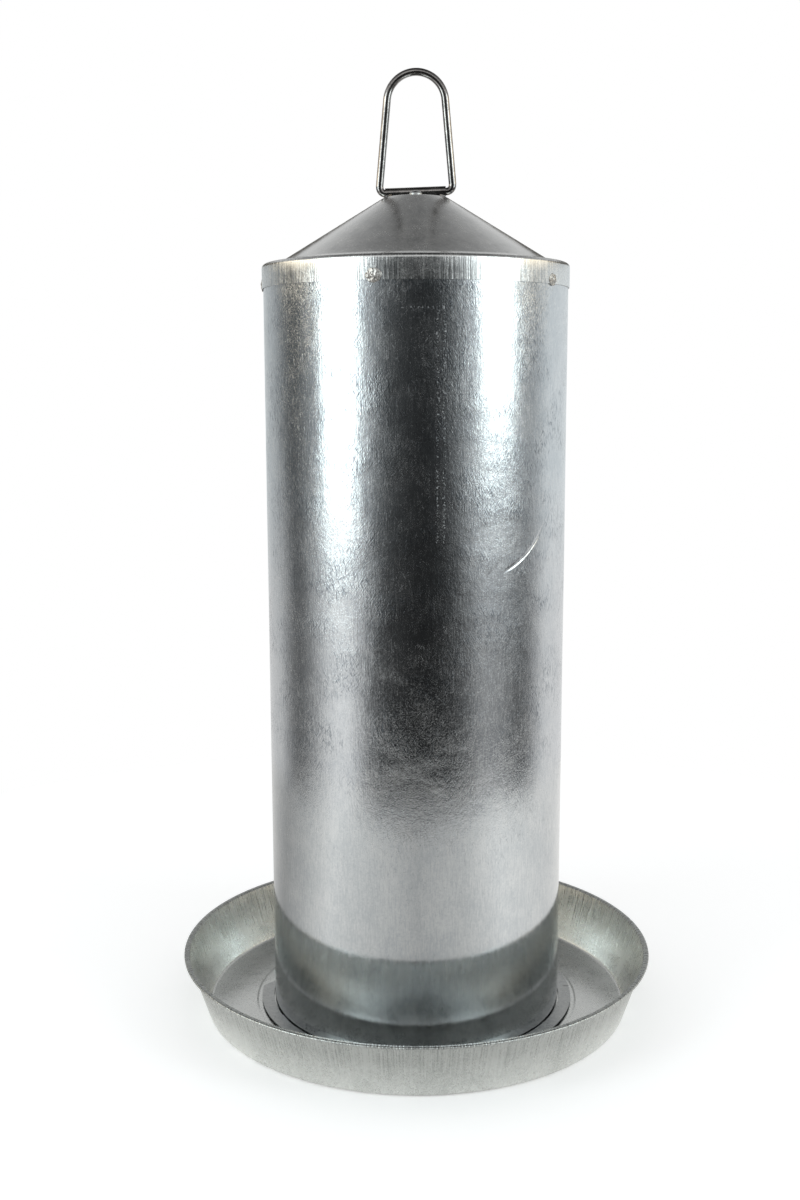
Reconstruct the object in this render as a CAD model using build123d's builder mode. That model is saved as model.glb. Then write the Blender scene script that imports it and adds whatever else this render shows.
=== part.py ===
"""Galvanised steel siphon drinker for poultry, in millimetres.

A drinking pan carries an open inner water tank. A tall cover with a conical cap is lowered
over the tank and locked to the pan by bayonet rails. A wire handle swings in a strap that
is riveted to the cap's apex. The origin is on the ground under the drinker's axis, +Z is up,
and -Y is the front. Azimuths are in degrees from +X towards +Y.
"""

from build123d import *
import os
from math import cos, radians, sin, tan

# Sheet thicknesses
PAN_SHEET = 0.8
RING_SHEET = 0.8
TANK_SHEET = 0.6
COVER_SHEET = 0.6
CAP_SHEET = 0.6
STRAP_SHEET = 1.0

# Pan
TROUGH_WIDTH = 37.5
PAN_FLOOR_BEND = 4.0
PAN_WALL_LEAN = 18.4
PAN_HEIGHT = 43.3
PAN_RIM_WIDTH = 3.36
PAN_RIM_BEND = 1.2
PAN_HEM_GAP = 0.8
PAN_HEM_RETURN = 1.6
HEM_BEND_SHARE = 0.45
PLATEAU_MARGIN = 2.5
PLATEAU_RISE = 0.5
PLATEAU_SLOPE = 1.5
PLATEAU_BEND = 1.0

# Cover: a rolled shell with bayonet tabs at its foot
COVER_RADIUS = 107.5
COVER_FOOT_GAP = 0.3
COVER_CAP_GAP = 1.6
COVER_SEAM_AZIMUTH = 75.0
LEVEL_HOLE_RADIUS = 6.0
LEVEL_HOLE_HEIGHT = 20.0
LEVEL_HOLE_AZIMUTH = 90.0
TAB_REACH = 7.8
TAB_LIP_GAP = 1.4
TAB_ANGLE = 5.5

# Seams of the rolled shells
SEAM_WIDTH = 1.5
SEAM_PROUD = 0.15
SEAM_SEAL_GAP = 0.5

# Bayonet rails: angles are from the middle of an entry notch, one set for each tab
BAYONET_COUNT = 3
NOTCH_AZIMUTH = 171.0
NOTCH_START = -8.5
NOTCH_END_INNER = -2.0
NOTCH_END_OUTER = 7.0
BRIDGE_START = 19.0
BRIDGE_END = 59.0
RELIEF_ANGLE = 71.0
RELIEF_WIDTH = 0.7
RELIEF_DEPTH = 4.0
RING_COVER_GAP = 1.0
RING_TAB_GAP = 0.4
LOCK_TURN = 40.0
STOP_ANGLE = 1.5
STOP_TAB_GAP = 0.4

# Inner tank
TANK_COVER_GAP = 5.4
TANK_CAP_GAP = 14.0
TANK_FOOT_WIDTH = 7.5
TANK_FOOT_BEND = 1.5
TANK_HEM_REACH = 2.0
TANK_HEM_DROP = 5.0
TANK_HEM_BEND = 0.6
TANK_SEAM_AZIMUTH = 110.0
TANK_SEAM_INSET = 8.0
OUTLET_RADIUS = 5.0
OUTLET_HEIGHT = 12.0
OUTLET_AZIMUTH = 90.0
FOOT_SOLDER_LEG = 3.0

# Cap: apex disc, cone, ledge and skirt
CAP_COVER_GAP = 0.3
SKIRT_HEIGHT = 16.4
SHOULDER_HEIGHT = 544.8
SHOULDER_BEND = 3.0
LEDGE_WIDTH = 12.4
LEDGE_RISE = 1.2
CONE_BASE_BEND = 12.0
CONE_RISE = 45.0
APEX_RADIUS = 22.5
APEX_BEND = 2.5
TACK_COUNT = 5
TACK_AZIMUTH = 255.0
TACK_ANGLE = 2.6
TACK_LEG = 1.7
SEAL_LEG = 3.0
SEAL_RISE = 0.8

# Handle: one closed wire loop, its bar a little askew in the strap
WIRE_RADIUS = 2.65
BAR_CLEARANCE = 1.15
ARCH_LIFT = 60.7
ARCH_RADIUS = 20.3
HANDLE_LEAN = 5.25
HANDLE_CORNER_BEND = 4.4
BAR_TILT = 2.0
HANDLE_SHIFT = 0.5

# Strap, rivets and washers on the apex disc
STRAP_LEG_GAP = 4.76
STRAP_WIRE_CLEARANCE = 0.1
STRAP_FOOT_INSET = 0.7
STRAP_FOOT_MARGIN = 0.5
RIVET_STRAP_GAP = 0.75
RIVET_SHANK_RADIUS = 2.5
RIVET_HOLE_CLEARANCE = 0.1
RIVET_HEAD_RADIUS = 4.5
RIVET_HEAD_HEIGHT = 3.4
RIVET_TAIL_RADIUS = 4.0
RIVET_TAIL_HEIGHT = 2.0
WASHER_RADIUS = 6.5
WASHER_SHEET = 1.0

# How far a cut runs past the sheet that it goes through
CUT_MARGIN = 2.0

# Heights, radii and angles that follow from the values above
floor_top = PLATEAU_RISE + PAN_SHEET
cover_foot = floor_top + COVER_FOOT_GAP
cover_inner_radius = COVER_RADIUS - COVER_SHEET
cover_top = SHOULDER_HEIGHT - CAP_SHEET - COVER_CAP_GAP
tab_top = cover_foot + COVER_SHEET
tab_radius = COVER_RADIUS + TAB_REACH
tank_radius = cover_inner_radius - TANK_COVER_GAP
tank_top = SHOULDER_HEIGHT - CAP_SHEET - TANK_CAP_GAP
lip_inner_radius = tab_radius + TAB_LIP_GAP
ring_outer_radius = lip_inner_radius + RING_SHEET
ring_inner_radius = COVER_RADIUS + RING_COVER_GAP
ring_underside = tab_top + RING_TAB_GAP
ring_top = ring_underside + RING_SHEET
ring_gap = ring_underside - floor_top
plateau_radius = ring_outer_radius + PLATEAU_MARGIN
pan_floor_radius = plateau_radius + TROUGH_WIDTH
cap_radius = COVER_RADIUS + CAP_COVER_GAP + CAP_SHEET
cone_base_radius = cap_radius - LEDGE_WIDTH
skirt_bottom = SHOULDER_HEIGHT - SKIRT_HEIGHT
apex_height = SHOULDER_HEIGHT + LEDGE_RISE + CONE_RISE
bar_lift = WIRE_RADIUS + BAR_CLEARANCE
bar_height = apex_height + bar_lift
strap_bore_radius = WIRE_RADIUS + STRAP_WIRE_CLEARANCE
strap_outer_radius = strap_bore_radius + STRAP_SHEET
rivet_hole_radius = RIVET_SHANK_RADIUS + RIVET_HOLE_CLEARANCE
rivet_offset = strap_outer_radius + RIVET_STRAP_GAP + RIVET_HEAD_RADIUS
locked_tab_angle = (NOTCH_START + NOTCH_END_INNER) / 2 + LOCK_TURN
bayonet_turns = [NOTCH_AZIMUTH + turn * 360 / BAYONET_COUNT for turn in range(BAYONET_COUNT)]
rivet_places = [(0, -rivet_offset), (0, rivet_offset)]

os.makedirs("parts", exist_ok=True)


def save(piece, name):
    """Label a finished piece and write it to its own file."""
    piece.part.label = name
    export_step(piece.part, f"parts/{name}.step")


def polar(radius, azimuth):
    """A point of a horizontal sketch, by radius and azimuth."""
    return (radius * cos(radians(azimuth)), radius * sin(radians(azimuth)))


def radial_plane(azimuth):
    """The vertical half-plane at an azimuth: local x points outwards and local y up."""
    x, y = polar(1, azimuth)
    return Plane(origin=(0, 0, 0), x_dir=(x, y, 0), z_dir=(y, -x, 0))


def outward_plane(azimuth, height):
    """A plane through the axis that faces outwards at an azimuth, for radial holes."""
    x, y = polar(1, azimuth)
    return Plane(origin=(0, 0, height), x_dir=(-y, x, 0), z_dir=(x, y, 0))


def wedge(start, end):
    """A flat wedge about the axis between two azimuths, wider than the whole drinker."""
    reach = 2 * pan_floor_radius
    with BuildSketch() as slice_of_disc:
        with BuildLine():
            Polyline(
                (0, 0),
                polar(reach, start),
                polar(reach, (start + end) / 2),
                polar(reach, end),
                close=True,
            )
        make_face()
    return slice_of_disc.sketch


# Pan: the line is the sheet's underside, from the centre out to the end of the hem
rim_underside = PAN_HEIGHT - PAN_SHEET
rim_root_radius = pan_floor_radius + rim_underside * tan(radians(PAN_WALL_LEAN))
hem_radius = rim_root_radius + PAN_RIM_WIDTH - PAN_SHEET
hem_end_height = rim_underside - PAN_HEM_GAP
hem_bend = PAN_HEM_GAP * HEM_BEND_SHARE
with BuildPart() as pan:
    with BuildSketch(Plane.XZ):
        with BuildLine():
            FilletPolyline(
                (0, PLATEAU_RISE),
                (plateau_radius, PLATEAU_RISE),
                (plateau_radius + PLATEAU_SLOPE, 0),
                (pan_floor_radius, 0),
                (rim_root_radius, rim_underside),
                (hem_radius, rim_underside),
                (hem_radius, hem_end_height),
                (hem_radius - PAN_HEM_RETURN, hem_end_height),
                radius=[PLATEAU_BEND, PLATEAU_BEND, PAN_FLOOR_BEND, PAN_RIM_BEND, hem_bend, hem_bend],
            )
            offset(amount=PAN_SHEET, side=Side.LEFT)
        make_face()
    revolve(axis=Axis.Z)
save(pan, "pan")

# Bayonet rails: three curved strips whose turned-down lips stand on the pan's raised centre
notch_far = ring_outer_radius + CUT_MARGIN
notch_near = ring_inner_radius - CUT_MARGIN
stop_start = locked_tab_angle + TAB_ANGLE / 2 + STOP_TAB_GAP
with BuildPart() as bayonet_rails:
    with BuildSketch(Plane.XY.offset(floor_top)):
        Circle(ring_outer_radius)
        Circle(lip_inner_radius, mode=Mode.SUBTRACT)
        # Along each lanced bridge the lip is sheared off, and the ring stands clear of the floor
        for notch in bayonet_turns:
            add(wedge(notch + BRIDGE_START, notch + BRIDGE_END), mode=Mode.SUBTRACT)
    extrude(amount=ring_gap)
    # The stops are pressed down from the ring, each behind a locked tab
    with BuildSketch(Plane.XY.offset(floor_top)):
        Circle(tab_radius)
        Circle(ring_inner_radius, mode=Mode.SUBTRACT)
        with BuildSketch(mode=Mode.INTERSECT):
            for notch in bayonet_turns:
                add(wedge(notch + stop_start, notch + stop_start + STOP_ANGLE))
    extrude(amount=ring_gap)
    with BuildSketch(Plane.XY.offset(ring_underside)):
        Circle(ring_outer_radius)
        Circle(ring_inner_radius, mode=Mode.SUBTRACT)
    extrude(amount=RING_SHEET)
    # Entry notches, square at the back end and oblique at the front, and the relief cuts
    with BuildSketch(Plane.XY.offset(floor_top)):
        for notch in bayonet_turns:
            with BuildLine():
                Polyline(
                    polar(notch_near, notch + NOTCH_START),
                    polar(notch_far, notch + NOTCH_START),
                    polar(notch_far, notch + (NOTCH_START + NOTCH_END_OUTER) / 2),
                    polar(notch_far, notch + NOTCH_END_OUTER),
                    polar(notch_near, notch + NOTCH_END_INNER),
                    close=True,
                )
            make_face()
        with PolarLocations(ring_outer_radius, BAYONET_COUNT, NOTCH_AZIMUTH + RELIEF_ANGLE):
            Rectangle(2 * RELIEF_DEPTH, RELIEF_WIDTH)
    extrude(amount=ring_top - floor_top, mode=Mode.SUBTRACT)
save(bayonet_rails, "bayonet_rails")

# Inner tank: a rolled shell with a turned-in foot and a hem round its mouth
tank_seam_bottom = floor_top + TANK_SEAM_INSET
tank_seam_length = tank_top - TANK_SEAM_INSET - tank_seam_bottom
tank_seam_depth = TANK_SHEET + 2 * SEAM_PROUD
tank_seam_radius = tank_radius - TANK_SHEET / 2
with BuildPart() as inner_tank:
    with BuildSketch(Plane.XZ):
        with BuildLine():
            FilletPolyline(
                (tank_radius - TANK_FOOT_WIDTH, floor_top),
                (tank_radius, floor_top),
                (tank_radius, tank_top - TANK_SHEET),
                (tank_radius + TANK_HEM_REACH, tank_top - TANK_SHEET),
                (tank_radius + TANK_HEM_REACH, tank_top - TANK_HEM_DROP),
                radius=[TANK_FOOT_BEND, TANK_HEM_BEND, TANK_HEM_BEND],
            )
            offset(amount=TANK_SHEET, side=Side.LEFT)
        make_face()
    revolve(axis=Axis.Z)
    with BuildSketch(outward_plane(OUTLET_AZIMUTH, OUTLET_HEIGHT)):
        Circle(OUTLET_RADIUS)
    extrude(amount=tank_radius + CUT_MARGIN, mode=Mode.SUBTRACT)
    with BuildSketch(Plane.XY.offset(tank_seam_bottom)):
        with PolarLocations(tank_seam_radius, 1, TANK_SEAM_AZIMUTH):
            Rectangle(tank_seam_depth, SEAM_WIDTH)
    extrude(amount=tank_seam_length, mode=Mode.SUBTRACT)
save(inner_tank, "inner_tank")

with BuildPart() as tank_seam_weld:
    with BuildSketch(Plane.XY.offset(tank_seam_bottom)):
        with PolarLocations(tank_seam_radius, 1, TANK_SEAM_AZIMUTH):
            Rectangle(tank_seam_depth, SEAM_WIDTH)
    extrude(amount=tank_seam_length)
save(tank_seam_weld, "tank_seam_weld")

with BuildPart() as tank_foot_solder:
    with BuildSketch(Plane.XZ):
        with BuildLine():
            Polyline(
                (tank_radius, floor_top),
                (tank_radius + FOOT_SOLDER_LEG, floor_top),
                (tank_radius, floor_top + FOOT_SOLDER_LEG),
                close=True,
            )
        make_face()
    revolve(axis=Axis.Z)
save(tank_foot_solder, "tank_foot_solder")

# Cover: a rolled shell, its bayonet tabs turned out at the foot
cover_seam_depth = COVER_SHEET + 2 * SEAM_PROUD
cover_seam_radius = COVER_RADIUS - COVER_SHEET / 2
cover_seam_length = cover_top - SEAL_LEG - SEAM_SEAL_GAP - cover_foot
with BuildPart() as cover_cylinder:
    with BuildSketch(Plane.XY.offset(cover_foot)):
        Circle(COVER_RADIUS)
        Circle(cover_inner_radius, mode=Mode.SUBTRACT)
    extrude(amount=cover_top - cover_foot)
    with BuildSketch(Plane.XY.offset(cover_foot)):
        with PolarLocations(cover_seam_radius, 1, COVER_SEAM_AZIMUTH):
            Rectangle(cover_seam_depth, SEAM_WIDTH)
    extrude(amount=cover_seam_length, mode=Mode.SUBTRACT)
    with BuildSketch(Plane.XY.offset(cover_foot)):
        Circle(tab_radius)
        Circle(COVER_RADIUS - COVER_SHEET / 2, mode=Mode.SUBTRACT)
        with BuildSketch(mode=Mode.INTERSECT):
            for notch in bayonet_turns:
                tab_middle = notch + locked_tab_angle
                add(wedge(tab_middle - TAB_ANGLE / 2, tab_middle + TAB_ANGLE / 2))
    extrude(amount=COVER_SHEET)
    with BuildSketch(outward_plane(LEVEL_HOLE_AZIMUTH, LEVEL_HOLE_HEIGHT)):
        Circle(LEVEL_HOLE_RADIUS)
    extrude(amount=COVER_RADIUS + CUT_MARGIN, mode=Mode.SUBTRACT)
save(cover_cylinder, "cover_cylinder")

with BuildPart() as cover_seam_weld:
    with BuildSketch(Plane.XY.offset(cover_foot)):
        with PolarLocations(cover_seam_radius, 1, COVER_SEAM_AZIMUTH):
            Rectangle(cover_seam_depth, SEAM_WIDTH)
    extrude(amount=cover_seam_length)
save(cover_seam_weld, "cover_seam_weld")

# Cap: the line is the sheet's outside, from the apex down to the skirt's edge
with BuildPart() as top_cap:
    with BuildSketch(Plane.XZ):
        with BuildLine():
            FilletPolyline(
                (0, apex_height),
                (APEX_RADIUS, apex_height),
                (cone_base_radius, SHOULDER_HEIGHT + LEDGE_RISE),
                (cap_radius, SHOULDER_HEIGHT),
                (cap_radius, skirt_bottom),
                radius=[APEX_BEND, CONE_BASE_BEND, SHOULDER_BEND],
            )
            offset(amount=CAP_SHEET, side=Side.RIGHT)
        make_face()
    revolve(axis=Axis.Z)
    with BuildSketch(Plane.XY.offset(apex_height)):
        with Locations(*rivet_places):
            Circle(rivet_hole_radius)
    extrude(amount=CUT_MARGIN, both=True, mode=Mode.SUBTRACT)
save(top_cap, "top_cap")

# Solder tacks in the corner under the skirt's edge
with BuildPart() as cap_tacks:
    for turn in range(TACK_COUNT):
        tack_start = TACK_AZIMUTH + turn * 360 / TACK_COUNT - TACK_ANGLE / 2
        with BuildSketch(radial_plane(tack_start)):
            with BuildLine():
                Polyline(
                    (COVER_RADIUS, skirt_bottom),
                    (cap_radius, skirt_bottom),
                    (COVER_RADIUS, skirt_bottom - TACK_LEG),
                    close=True,
                )
            make_face()
        revolve(axis=Axis.Z, revolution_arc=TACK_ANGLE)
save(cap_tacks, "cap_tacks")

# Seal bead in the corner between the cover's inside and the cap's ledge
ledge_slope = LEDGE_RISE / LEDGE_WIDTH
seal_inner_radius = cover_inner_radius - SEAL_LEG
seal_ledge_height = SHOULDER_HEIGHT - CAP_SHEET + ledge_slope * (cap_radius - seal_inner_radius)
with BuildPart() as cap_seal_bead:
    with BuildSketch(Plane.XZ):
        with BuildLine():
            Polyline(
                (cover_inner_radius, cover_top - SEAL_LEG),
                (cover_inner_radius, cover_top + SEAL_RISE),
                (seal_inner_radius, seal_ledge_height),
                close=True,
            )
        make_face()
    revolve(axis=Axis.Z)
save(cap_seal_bead, "cap_seal_bead")

# Strap: an arch over the wire's bar with two feet cut round to the apex disc
bar_slope = tan(radians(BAR_TILT))
lean_slope = tan(radians(HANDLE_LEAN))
leg_reach = ARCH_RADIUS / cos(radians(HANDLE_LEAN)) + (ARCH_LIFT - HANDLE_SHIFT * bar_slope) * lean_slope
strap_length = 2 * (leg_reach - STRAP_LEG_GAP)
strap_foot_radius = APEX_RADIUS - STRAP_FOOT_INSET
strap_foot_depth = 2 * (rivet_offset + RIVET_HEAD_RADIUS + STRAP_FOOT_MARGIN)
bar_direction = (cos(radians(BAR_TILT)), 0, sin(radians(BAR_TILT)))
strap_plane = Plane(origin=(0, 0, bar_height), x_dir=(0, 1, 0), z_dir=bar_direction)
strap_leg = 2 * bar_lift
with BuildPart() as handle_strap:
    with BuildSketch(strap_plane):
        Circle(strap_outer_radius)
        with Locations((0, -strap_leg / 2)):
            Rectangle(2 * strap_outer_radius, strap_leg)
    extrude(amount=strap_length / 2, both=True)
    with BuildSketch(Plane.XY.offset(apex_height)):
        Circle(strap_foot_radius)
        Rectangle(strap_length, strap_foot_depth, mode=Mode.INTERSECT)
    extrude(amount=STRAP_SHEET)
    with BuildSketch(Plane.XY.offset(apex_height - strap_leg)):
        Rectangle(2 * strap_length, strap_foot_depth)
    extrude(amount=strap_leg, mode=Mode.SUBTRACT)
    with BuildSketch(strap_plane):
        Circle(strap_bore_radius)
        with Locations((0, -strap_leg / 2)):
            Rectangle(2 * strap_bore_radius, strap_leg)
    extrude(amount=strap_length, both=True, mode=Mode.SUBTRACT)
    with BuildSketch(Plane.XY.offset(apex_height)):
        with Locations(*rivet_places):
            Circle(rivet_hole_radius)
    extrude(amount=STRAP_SHEET, mode=Mode.SUBTRACT)
save(handle_strap, "handle_strap")

# Rivets: a domed head outside, a flatter dome hammered over the washer inside
head_seat = apex_height + STRAP_SHEET
head_top = head_seat + RIVET_HEAD_HEIGHT
tail_seat = apex_height - CAP_SHEET - WASHER_SHEET
tail_end = tail_seat - RIVET_TAIL_HEIGHT
with BuildPart() as handle_rivets:
    for place in rivet_places:
        with BuildSketch(Plane(origin=(*place, 0), x_dir=(1, 0, 0), z_dir=(0, -1, 0))):
            with BuildLine():
                TangentArc((0, head_top), (RIVET_HEAD_RADIUS, head_seat), tangent=(1, 0))
                Polyline(
                    (RIVET_HEAD_RADIUS, head_seat),
                    (RIVET_SHANK_RADIUS, head_seat),
                    (RIVET_SHANK_RADIUS, tail_seat),
                    (RIVET_TAIL_RADIUS, tail_seat),
                )
                TangentArc((0, tail_end), (RIVET_TAIL_RADIUS, tail_seat), tangent=(1, 0))
                Line((0, tail_end), (0, head_top))
            make_face()
        revolve(axis=Axis((*place, 0), (0, 0, 1)))
save(handle_rivets, "handle_rivets")

with BuildPart() as rivet_washers:
    with BuildSketch(Plane.XY.offset(tail_seat)):
        with Locations(*rivet_places):
            Circle(WASHER_RADIUS)
            Circle(rivet_hole_radius, mode=Mode.SUBTRACT)
    extrude(amount=WASHER_SHEET)
save(rivet_washers, "rivet_washers")

# Handle: the legs are tangent to the arch and meet the tilted bar at the lower corners
arch_height = bar_height + ARCH_LIFT
right_reach = leg_reach / (1 + bar_slope * lean_slope)
left_reach = leg_reach / (1 - bar_slope * lean_slope)
right_x = HANDLE_SHIFT + right_reach
left_x = HANDLE_SHIFT - left_reach
right_corner = (right_x, bar_height + right_x * bar_slope)
left_corner = (left_x, bar_height + left_x * bar_slope)
with BuildPart() as handle_wire:
    with BuildLine(Plane.XZ) as loop:
        arch = CenterArc((HANDLE_SHIFT, arch_height), ARCH_RADIUS, HANDLE_LEAN, 180 - 2 * HANDLE_LEAN)
        Line(arch @ 0, right_corner)
        Line(arch @ 1, left_corner)
        Line(left_corner, right_corner)
        fillet(loop.vertices().group_by(Axis.Z)[0] + loop.vertices().group_by(Axis.Z)[1], HANDLE_CORNER_BEND)
    with BuildSketch(Plane(origin=loop.edges().sort_by(Axis.Z)[-1] @ 0.5, z_dir=(1, 0, 0))):
        Circle(WIRE_RADIUS)
    sweep()
save(handle_wire, "handle_wire")
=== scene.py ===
"""How a galvanised siphon drinker for poultry looks, in the studio that it stands in.

Lengths are in metres, +Z is up and -Y is the front. Azimuths are in degrees from +X towards +Y.
"""

from math import atan2, ceil, cos, hypot, pi, radians, sin, tan

import bmesh
import bpy
import numpy as np
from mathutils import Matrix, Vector


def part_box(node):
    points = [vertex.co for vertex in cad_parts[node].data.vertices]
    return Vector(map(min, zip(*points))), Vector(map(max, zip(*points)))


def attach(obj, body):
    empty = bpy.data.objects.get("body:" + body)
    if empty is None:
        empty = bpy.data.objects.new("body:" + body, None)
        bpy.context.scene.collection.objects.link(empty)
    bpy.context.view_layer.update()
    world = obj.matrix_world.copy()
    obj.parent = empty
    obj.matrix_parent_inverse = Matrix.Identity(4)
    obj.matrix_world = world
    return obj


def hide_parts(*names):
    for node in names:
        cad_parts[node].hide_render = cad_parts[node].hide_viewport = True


MM = 0.001

# The camera, fitted to the ellipses of the pan, the foot and the cap
CAMERA_PLACE = (-0.0112, -1.010, 0.467)
CAMERA_PITCH = 9.08
CAMERA_ROLL = 0.15
CAMERA_LENS = 41.8

# Sheets and their outlines
PAN_SHEET = 0.8 * MM
PAN_FLOOR_RADIUS = 157.5 * MM
PAN_FLOOR_BEND = 4.0 * MM
PAN_WALL_LEAN = radians(18.4)
PAN_RIM_BEND = 1.2 * MM
PAN_HEM_GAP = 0.8 * MM
PAN_HEM_RETURN = 1.6 * MM
PAN_HEM_BEND = 0.36 * MM
PLATEAU_RADIUS = 120.0 * MM
PLATEAU_RISE = 0.5 * MM
PLATEAU_SLOPE = 1.5 * MM
PLATEAU_BEND = 1.0 * MM
COVER_SHEET = 0.6 * MM
LEVEL_HOLE_RADIUS = 6.0 * MM
LEVEL_HOLE_HEIGHT = 20.0 * MM
LEVEL_HOLE_AZIMUTH = 90.0
TAB_RADIUS = 115.3 * MM
TAB_ANGLE = 5.5
TAB_AZIMUTH = 205.75
TAB_COUNT = 3
CAP_SHEET = 0.6 * MM
SHOULDER_HEIGHT = 544.8 * MM
SHOULDER_BEND = 3.0 * MM
LEDGE_WIDTH = 12.4 * MM
LEDGE_RISE = 1.2 * MM
CONE_BASE_BEND = 12.0 * MM
APEX_RADIUS = 22.5 * MM
APEX_BEND = 2.5 * MM
RIVET_OFFSET = 9.0 * MM
RIVET_SHANK_RADIUS = 2.5 * MM
RIVET_HOLE_RADIUS = 2.6 * MM

# Handle
WIRE_RADIUS = 2.65 * MM
BAR_HEIGHT = 594.8 * MM
BAR_TILT = radians(2.0)
ARCH_LIFT = 60.7 * MM
ARCH_RADIUS = 20.3 * MM
HANDLE_LEAN = radians(5.25)
HANDLE_BEND = 4.4 * MM
HANDLE_SHIFT = 0.5 * MM

# Solder tacks and the cover's seam
TACK_COUNT = 5
TACK_AZIMUTH = 255.0
SEAM_AZIMUTH = 75.0
SEAM_LUMP_PITCH = 2.4 * MM

# How finely round and long shapes are divided
TURN_SEGMENTS = 288
SHEET_STEP = 7.0 * MM
BEND_STEPS = 6

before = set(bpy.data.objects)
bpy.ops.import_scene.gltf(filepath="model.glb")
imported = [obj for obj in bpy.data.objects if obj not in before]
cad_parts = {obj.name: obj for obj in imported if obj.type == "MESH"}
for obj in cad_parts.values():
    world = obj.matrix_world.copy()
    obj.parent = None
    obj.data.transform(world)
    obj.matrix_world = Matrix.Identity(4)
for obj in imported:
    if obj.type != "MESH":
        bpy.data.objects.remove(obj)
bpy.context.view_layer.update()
pan_low, pan_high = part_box("pan")
cover_low, cover_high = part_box("cover_cylinder")
cap_low, cap_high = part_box("top_cap")
tacks_low, tacks_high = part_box("cap_tacks")
seam_low, seam_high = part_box("cover_seam_weld")
rivets_low, rivets_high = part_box("handle_rivets")
cover_radius = cover_high.x
cap_radius = cap_high.x
apex_height = cap_high.z


# Outlines and meshes

def rounded(corners, bends):
    """A line through corners in a plane, each inner corner rounded to its bend's radius."""
    points = [Vector(corners[0])]
    for before, corner, after, bend in zip(corners, corners[1:], corners[2:], bends):
        corner = Vector(corner)
        inward = (Vector(before) - corner).normalized()
        onward = (Vector(after) - corner).normalized()
        half_opening = inward.angle(onward) / 2
        middle = (inward + onward).normalized()
        centre = corner + middle * bend / sin(half_opening)
        start = corner + inward * bend / tan(half_opening) - centre
        end = corner + onward * bend / tan(half_opening) - centre
        turn = start.angle_signed(end)
        for step in range(BEND_STEPS + 1):
            angle = -turn * step / BEND_STEPS
            points.append(centre + Vector((
                start.x * cos(angle) - start.y * sin(angle),
                start.x * sin(angle) + start.y * cos(angle),
            )))
    points.append(Vector(corners[-1]))
    return points


def divided(line, step):
    """The same line with points added, so that no run is longer than a step."""
    points = [line[0]]
    for start, end in zip(line, line[1:]):
        runs = max(1, ceil((end - start).length / step))
        points += [start.lerp(end, run / runs) for run in range(1, runs + 1)]
    return points


def beside(line, distance):
    """The line moved to its left by a distance, square to itself."""
    moved = []
    for index, point in enumerate(line):
        before = line[max(index - 1, 0)]
        after = line[min(index + 1, len(line) - 1)]
        along = (after - before).normalized()
        moved.append(point + Vector((-along.y, along.x)) * distance)
    return moved


def bent_sheet(line, thickness):
    """The closed outline of a sheet whose one face follows the line."""
    return line + beside(line, thickness)[::-1]


def mesh_piece(name, vertices, faces, sharp=40.0):
    """A closed mesh object with outward faces, smooth but for its sharp edges."""
    mesh = bpy.data.meshes.new(name)
    mesh.from_pydata([tuple(vertex) for vertex in vertices], [], faces)
    shell = bmesh.new()
    shell.from_mesh(mesh)
    bmesh.ops.remove_doubles(shell, verts=shell.verts, dist=1e-7)
    bmesh.ops.recalc_face_normals(shell, faces=shell.faces)
    shell.to_mesh(mesh)
    shell.free()
    mesh.polygons.foreach_set("use_smooth", [True] * len(mesh.polygons))
    mesh.set_sharp_from_angle(angle=radians(sharp))
    piece = bpy.data.objects.new(name, mesh)
    bpy.context.scene.collection.objects.link(piece)
    return piece


def turned(name, outline, centre=(0.0, 0.0), segments=TURN_SEGMENTS, joined=False, shift=None):
    """A shape turned about the vertical line through centre. The outline is (radius, height)
    points that either close on themselves or begin and end on the axis. shift, if given, is a
    function of azimuth and height that says how far the sheet stands out there."""
    vertices = []
    rings = []
    for radius, height in outline:
        if radius < 1e-9:
            rings.append([len(vertices)])
            vertices.append((centre[0], centre[1], height))
            continue
        rings.append(list(range(len(vertices), len(vertices) + segments)))
        for segment in range(segments):
            azimuth = 2 * pi * segment / segments
            reach = radius + (shift(azimuth, height) if shift else 0.0)
            vertices.append((centre[0] + reach * cos(azimuth), centre[1] + reach * sin(azimuth), height))
    pairs = list(zip(rings, rings[1:]))
    if len(rings[0]) > 1:
        pairs.append((rings[-1], rings[0]))
    faces = []
    for ring, following in pairs:
        for segment in range(segments):
            onward = (segment + 1) % segments
            if len(ring) == 1 and len(following) == 1:
                continue
            if len(ring) == 1:
                faces.append((ring[0], following[segment], following[onward]))
            elif len(following) == 1:
                faces.append((ring[segment], following[0], ring[onward]))
            else:
                faces.append((ring[segment], following[segment], following[onward], ring[onward]))
    if joined:
        return vertices, faces
    return mesh_piece(name, vertices, faces)


def finished(piece):
    """The piece with its modifiers made part of its mesh."""
    evaluated = piece.evaluated_get(bpy.context.evaluated_depsgraph_get())
    mesh = bpy.data.meshes.new_from_object(evaluated)
    piece.modifiers.clear()
    piece.data = mesh
    mesh.name = piece.name
    return piece


def bored(piece, place, direction, radius, depth):
    """The piece with a round hole through it, along a direction from a place."""
    along = Vector(direction).normalized()
    across = along.orthogonal().normalized()
    upright = along.cross(across)
    sides = 48
    start = Vector(place)
    vertices = []
    for end in (start, start + along * depth):
        for side in range(sides):
            angle = 2 * pi * side / sides
            vertices.append(end + radius * (across * cos(angle) + upright * sin(angle)))
    faces = [(side, (side + 1) % sides, (side + 1) % sides + sides, side + sides) for side in range(sides)]
    faces += [tuple(range(sides)), tuple(range(sides, 2 * sides))]
    cutter = mesh_piece("cutter", vertices, faces)
    cut = piece.modifiers.new("hole", "BOOLEAN")
    cut.object = cutter
    cut.operation = "DIFFERENCE"
    cut.solver = "EXACT"
    finished(piece)
    bpy.data.objects.remove(cutter)
    return piece


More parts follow.
